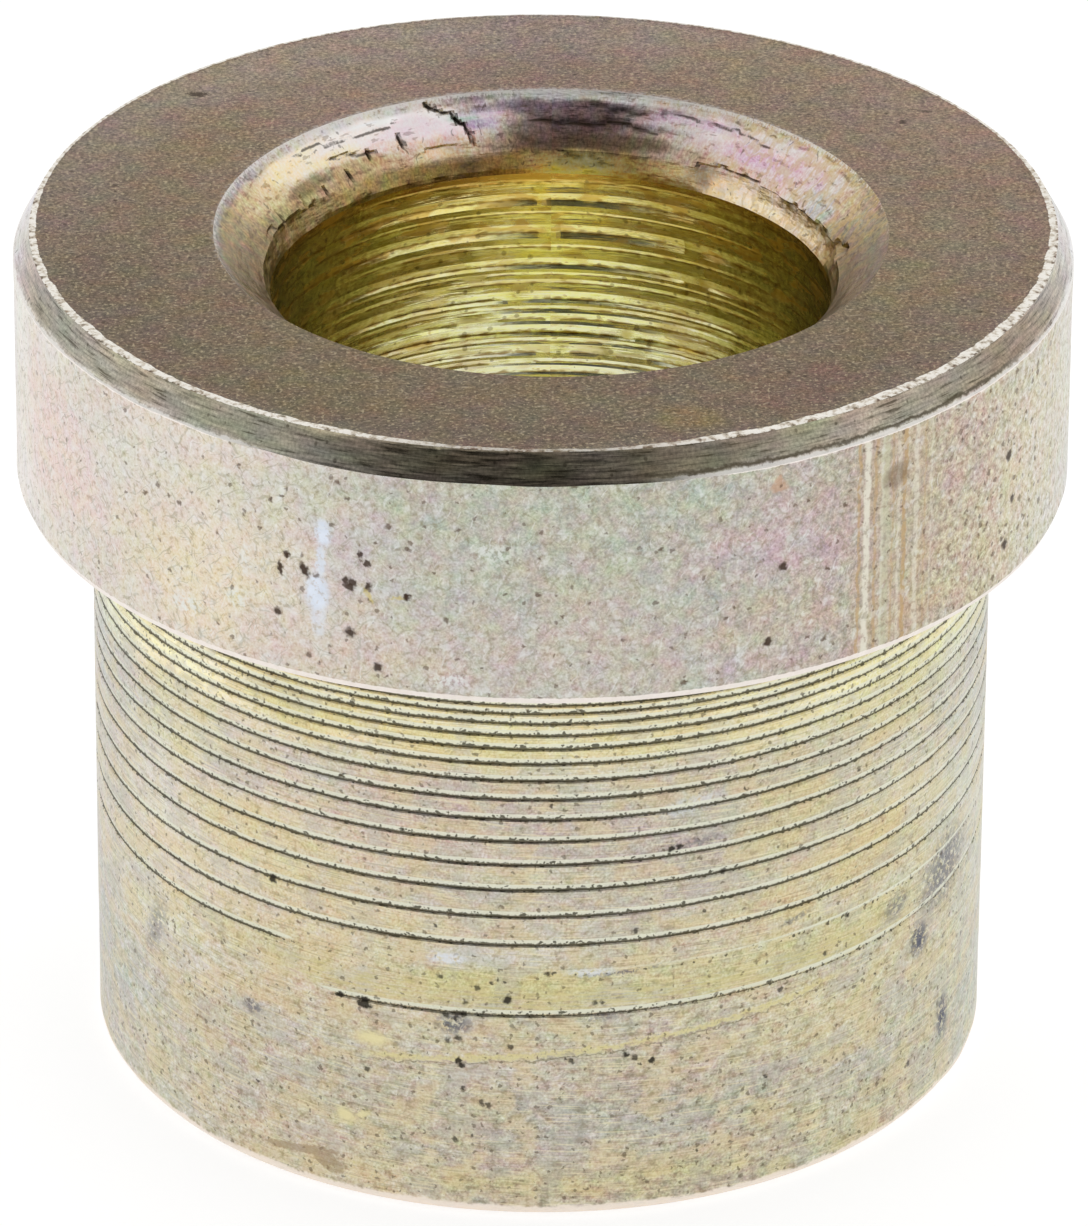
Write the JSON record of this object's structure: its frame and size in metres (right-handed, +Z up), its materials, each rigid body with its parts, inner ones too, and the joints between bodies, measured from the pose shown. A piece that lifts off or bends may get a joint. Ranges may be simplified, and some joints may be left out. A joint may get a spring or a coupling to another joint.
{
  "type": "flanged bushing",
  "caption": "Turned steel bushing with a thick collar, a grooved press-in shank and a countersunk bore right through, worn and pitted.",
  "frame": {"origin": "centre of the outside at the bottom face the bushing stands on", "axes": "+Z up along the outside's turning axis, from the shank's foot to the collar's top face; the front is -Y and +X is to the right"},
  "size_m": [0.028, 0.028, 0.0233],
  "materials": {
    "plated_steel": "worn yellow zinc plating over turned steel, brown and matt on the top face"
  },
  "bodies": {
    "root": {"bushing": "plated_steel"}
  },
  "joints": []
}
